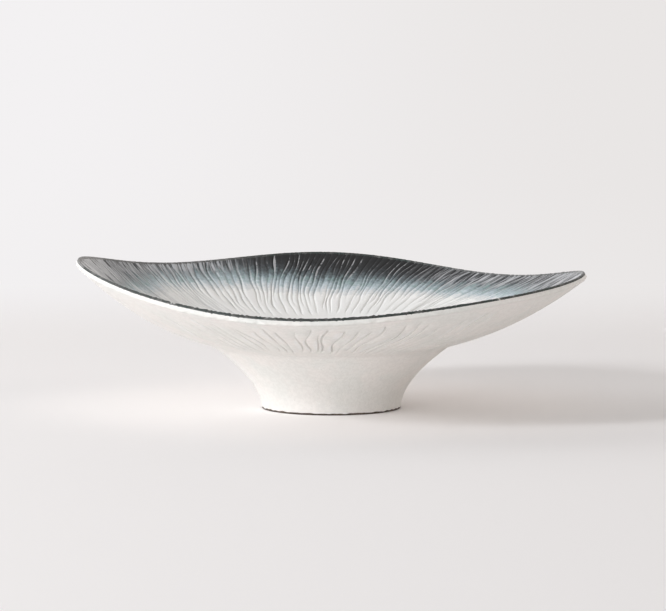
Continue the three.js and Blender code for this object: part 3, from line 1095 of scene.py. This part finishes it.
# Greyer in the grooves, where the white glaze pools and painted shade goes with it.
pooled_and_shaded = mask(groove_mark, 0.2, 0.9) * (1 - charcoal)
colour = blend(pooled_and_shaded * (0.24 - 0.1 * in_dish + 0.2 * thin), colour, POOLED_AND_SHADED)
# A painted highlight on each groove's shoulder, on the side that faces the lamp on the left.
painted_highlight = mask(break_and_highlight_mark, 0.6, 0.98) * (1 - mask(dipped, 0.3, 0.6) * in_dish)
colour = blend(painted_highlight * (0.7 - 0.45 * in_dish + 0.3 * thin), colour, PAINTED_HIGHLIGHT_WHITE)
dapple = mask(noise(place, DAPPLE_SIZE), 0.4, 0.6) * (1 - in_dish)
colour = blend(dapple * 0.09, colour, DAPPLE)

roughness = 0.48 + (pebbles - 0.5) * 0.2
relief = pebbles + mottle * 0.6
glaze_material = surface(glaze, colour, roughness, bump(relief, PEBBLE_DEPTH))
ribbed_dish.data.materials.append(glaze_material)
flared_pedestal.data.materials.append(glaze_material)
print("the glaze has", len(glaze.tree.nodes), "nodes")

# %% [markdown]
# ## The dark edge's glaze, and the bare clay
#
# The edge is greenish black, browner in places, pale where it is thin, and rougher than the rest. The
# bare clay at the foot is a dark brown stoneware with sand in it. Neither follows the ribs, so plain
# noise at two sizes serves for each. The slip's outer face lies under the glaze and takes it, and the
# rest of the slip stays clay.

# %% Dark glaze of the edge
EDGE_GREEN = written(36, 50, 47)
EDGE_BROWN = written(58, 56, 54)
EDGE_GRIT = written(112, 114, 111)
EDGE_THIN = written(150, 149, 149)
EDGE_VEIL = written(150, 154, 150)
EDGE_BARE = written(188, 186, 182)  # where the white glaze shows through

edge = Finish("dark_edge_glaze")
edge_place = places_on(edge)
runs = noise(edge_place, 6 * MM, detail=3)
grit = noise(edge_place, 0.7 * MM, detail=3, roughness=0.7)
edge_colour = blend(mask(runs, 0.35, 0.65), EDGE_GREEN, EDGE_BROWN)
edge_colour = blend(mask(grit, 0.45, 0.75) * 0.6, edge_colour, EDGE_GRIT)
# The edge is pale where it is thin, more so on the ribs' shoulders, where a painted highlight goes
# with the break.
breaks_and_highlights = mask(mark(edge, "shoulder") + (grit - 0.5), 0.1, 0.8)
edge_thin = mark(edge, "thinness")
pale_inside = mark(edge, "inside") * edge_thin * (0.4 + breaks_and_highlights * 0.6)
pale_tips = mask(edge_thin, 1.2, 1.3) * 0.6
edge_colour = blend(pale_inside + pale_tips, edge_colour, EDGE_THIN)
edge_colour = blend(mask(runs, 0.56, 0.64) * 0.22, edge_colour, EDGE_VEIL)
edge_colour = blend(mask(runs, 0.7, 0.74), edge_colour, EDGE_BARE)
edge_roughness = 0.55 + (grit - 0.5) * 0.3
edge_material = surface(edge, edge_colour, edge_roughness, bump(grit, 0.2 * MM))
dark_rim.data.materials.append(edge_material)
print("the edge's glaze has", len(edge.tree.nodes), "nodes")

# %% Bare clay
CLAY = written(92, 80, 71)
CLAY_TOASTED = written(70, 61, 56)
SAND = written(128, 114, 100)

clay = Finish("bare_stoneware")
clay_place = places_on(clay)
sand = noise(clay_place, 0.5 * MM, detail=4, roughness=0.7)
toast = noise(clay_place, 9 * MM)
clay_colour = blend(mask(toast, 0.3, 0.7), CLAY, CLAY_TOASTED)
clay_colour = blend(mask(sand, 0.6, 0.75), clay_colour, SAND)
clay_material = surface(clay, clay_colour, 0.86 + (sand - 0.5) * 0.1, bump(sand, 0.15 * MM))
clay_foot.data.materials.append(clay_material)
slip_bed.data.materials.append(clay_material)
slip_bed.data.materials.append(glaze_material)
for face in slip_bed.data.polygons:
    face.material_index = int(face.center.xy.length > (mouth_radius + pedestal_top_radius) / 2)
print("materials:", [m.name for m in bpy.data.materials])

# %% [markdown]
# ## Floor and light
#
# The bowl stands on a sheet of pale paper that curves up behind it, so there is no horizon. A small
# soft lamp, high on the left, gives the long faint shadow on the right. A broader one, low at the
# front, lights the lip and the outside. Three large ones fill in from the back left, the right and
# behind, and the room does the rest. A picture of a room could light it all at once, but lamps can be
# turned one by one. They keep a plain level, at which colours look as written.

# %% Floor that sweeps up behind
SWEEP_START = 2.6  # metres, as are the others
SWEEP_RADIUS = 1.4
FLOOR_HALF_WIDTH = 5
FLOOR_FRONT = -5
WALL_TOP = 4
SWEEP_STEPS = 24

turns = np.linspace(0, math.pi / 2, SWEEP_STEPS + 1)
sweep = [(FLOOR_FRONT, 0.0)]
sweep += [
    (SWEEP_START + SWEEP_RADIUS * math.sin(a), SWEEP_RADIUS * (1 - math.cos(a))) for a in turns
]
sweep.append((SWEEP_START + SWEEP_RADIUS, WALL_TOP))
floor_points = [(x, y, z) for y, z in sweep for x in (-FLOOR_HALF_WIDTH, FLOOR_HALF_WIDTH)]
floor_faces = [(2 * n, 2 * n + 1, 2 * n + 3, 2 * n + 2) for n in range(len(sweep) - 1)]
floor_mesh = bpy.data.meshes.new("paper_sweep")
floor_mesh.from_pydata(floor_points, [], floor_faces)
floor_mesh.shade_smooth()
floor = in_scene("paper_sweep", floor_mesh)
floor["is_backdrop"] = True
print("the floor and its sweep have", len(floor_faces), "faces")

# %% Paper
# From here back, the camera sees a glow instead of the lit paper, lighter on the left than on the
# right: painted light.
BACKDROP_NEAR = 0.4  # from here back, the camera sees the backdrop's own pale tone
BACKDROP_FAR = 1
PAPER = written(247, 244, 243)
BACKDROP_LEFT = written(243, 241, 242)
BACKDROP_RIGHT = written(233, 230, 229)
DIRECT_RAYS = ("Is Camera Ray", "Is Glossy Ray", "Is Transmission Ray")

paper = Finish("pale_paper")
paper_sockets = {"Base Color": PAPER, "Roughness": 0.9, "Specular IOR Level": 0.2}
paper_shader = paper.node("ShaderNodeBsdfPrincipled", {}, paper_sockets)
spot = places_on(paper)
# The glow is lighter on the left, as the light falls there: painted light.
tone = blend(mask(along(spot, "X"), -0.5, 0.5), BACKDROP_LEFT, BACKDROP_RIGHT)
glow = paper.node("ShaderNodeEmission", {}, {"Color": tone, "Strength": 1})
straight, glossy, clear = (paper.node("ShaderNodeLightPath", {}, {}, ray) for ray in DIRECT_RAYS)
far = mask(along(spot, "Y"), BACKDROP_NEAR, BACKDROP_FAR) * (straight + glossy + clear)
mixed = paper.node("ShaderNodeMixShader", {}, {0: far, 1: paper_shader, 2: glow})
paper.node("ShaderNodeOutputMaterial", {}, {"Surface": mixed})
floor_mesh.materials.append(paper.material)
print("the paper has", len(paper.tree.nodes), "nodes")

# %% Lamps and room
AIM = (0, 0, 0.05)  # the middle of the bowl
ROOM_LIGHT = 0.395


def lamp(name, towards, distance, size, watts, tint):
    """A square soft lamp that faces the bowl from a direction. The camera doesn't see it."""
    light = bpy.data.lights.new(name, "AREA")
    light.size = size
    light.energy = watts
    light.color = tint
    made = in_scene(name, light)
    direction = Vector(towards).normalized()
    made.location = Vector(AIM) + distance * direction
    made.rotation_euler = direction.to_track_quat("Z", "Y").to_euler()
    made.visible_camera = False
    print(name, "at", [round(x, 2) for x in made.location], "with", watts, "W")


lamp("window_left", (-0.88, -0.5, 0.47), 3.0, 0.6, 43, (0.95, 0.97, 1))
lamp("low_front", (-0.55, -0.85, 0.1), 4.0, 1.1, 41, (0.96, 0.99, 1))
lamp("far_left", (-0.85, 0.46, 0.4), 3.2, 2.3, 33, (0.97, 0.98, 1))
lamp("far_right", (0.95, -0.1, 0.4), 4.0, 3.0, 32, (1, 0.9, 0.83))
lamp("behind", (0, 1, 0.35), 2.4, 3.4, 11.8, (1, 0.93, 0.87))

room = bpy.data.worlds.new("room")
bpy.context.scene.world = room
room.use_nodes = True
background = room.node_tree.nodes["Background"]
background.inputs["Color"].default_value = (1, 1, 1, 1)
background.inputs["Strength"].default_value = ROOM_LIGHT
bpy.context.scene.view_settings.view_transform = "Standard"

# %% [markdown]
# ## Measures and the end
#
# Blender gives the bowl its looks and leaves its size alone, so the two boxes are printed: the CAD
# model's and this one's.

# %% Sizes and finish
boxes = {"cad": CAD_BOX, "visual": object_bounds()}
for name, (low, high) in boxes.items():
    print(name, "box in mm:", [round(x / MM, 2) for x in high - low])
